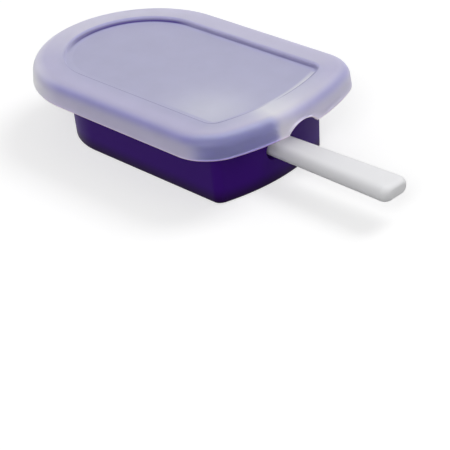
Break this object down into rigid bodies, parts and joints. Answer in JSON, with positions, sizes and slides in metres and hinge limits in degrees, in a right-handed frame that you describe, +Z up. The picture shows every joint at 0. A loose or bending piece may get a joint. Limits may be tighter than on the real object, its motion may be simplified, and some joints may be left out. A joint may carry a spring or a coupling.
{
  "type": "ice pop mold",
  "caption": "Stackable ice pop mold: a round-nosed silicone tray with a flanged rim, a translucent lift-off lid with a nesting recess, and a pull-out stick.",
  "frame": {"origin": "centre of the tray's flat base outline, on the face it stands on", "axes": "+X towards the stick end, +Y across the mold, +Z up through the lid; the mold is mirrored across the XZ plane"},
  "size_m": [0.1532, 0.076, 0.0304],
  "materials": {
    "tray_silicone": "satin silicone",
    "lid_silicone": "frosted translucent silicone",
    "stick_plastic": "satin"
  },
  "bodies": {
    "tray": {"mold_body": "tray_silicone"},
    "cover": {"lid": "lid_silicone"},
    "stick": {"stick": "stick_plastic"}
  },
  "joints": [
    {"name": "lid_lift", "type": "slide", "parent": "tray", "child": "cover", "axis": [0, 0, 1], "range_m": [0, 0.03]},
    {"name": "stick_pull", "type": "slide", "parent": "tray", "child": "stick", "axis": [1, 0, 0], "range_m": [0, 0.045]}
  ]
}
